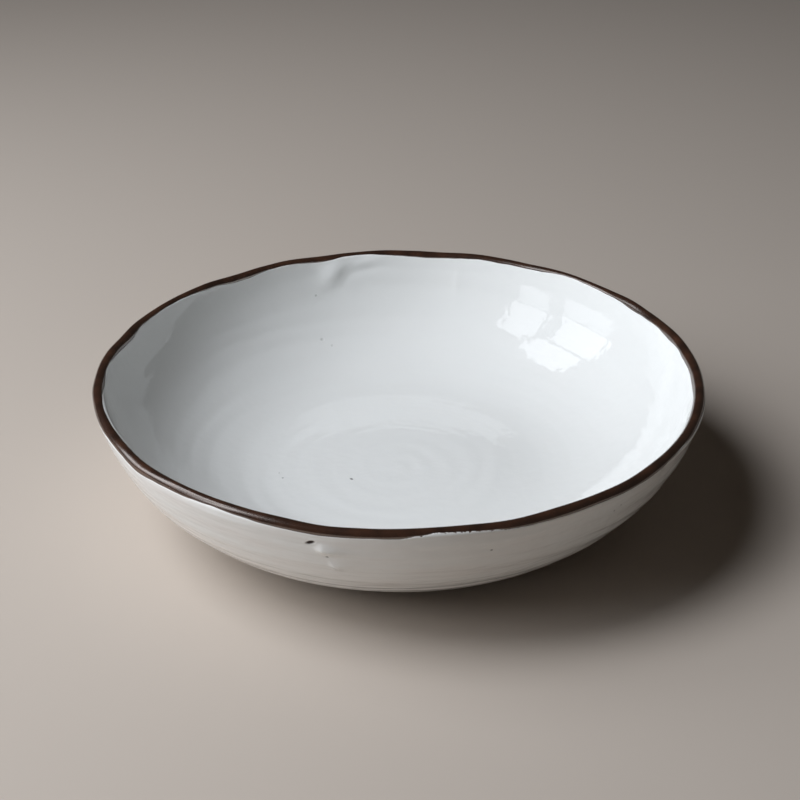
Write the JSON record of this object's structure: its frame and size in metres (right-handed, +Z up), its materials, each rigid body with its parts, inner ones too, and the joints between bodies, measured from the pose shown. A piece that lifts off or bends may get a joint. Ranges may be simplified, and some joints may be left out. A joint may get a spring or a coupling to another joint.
{
  "type": "serving bowl",
  "caption": "Wide shallow hand-thrown stoneware serving bowl, glossy white glaze inside and out, dark brown rounded lip, standing on a low turned foot ring.",
  "frame": {"origin": "centre of the circle that the foot ring stands on", "axes": "+Z up along the bowl's turning axis; +X to the right and +Y away from the viewer in the picture"},
  "size_m": [0.2998, 0.2998, 0.0716],
  "materials": {
    "dark_stoneware": "bare fired stoneware, matte and finely gritty",
    "white_glaze": "glossy white glaze with soft throwing rings and a few pits",
    "iron_wash": "dark brown iron wash, satin"
  },
  "bodies": {
    "root": {"clay_body": "dark_stoneware", "foot_ring": "dark_stoneware", "inner_glaze": "white_glaze", "outer_glaze": "white_glaze", "base_glaze": "white_glaze", "rim_band": "iron_wash"}
  },
  "joints": []
}
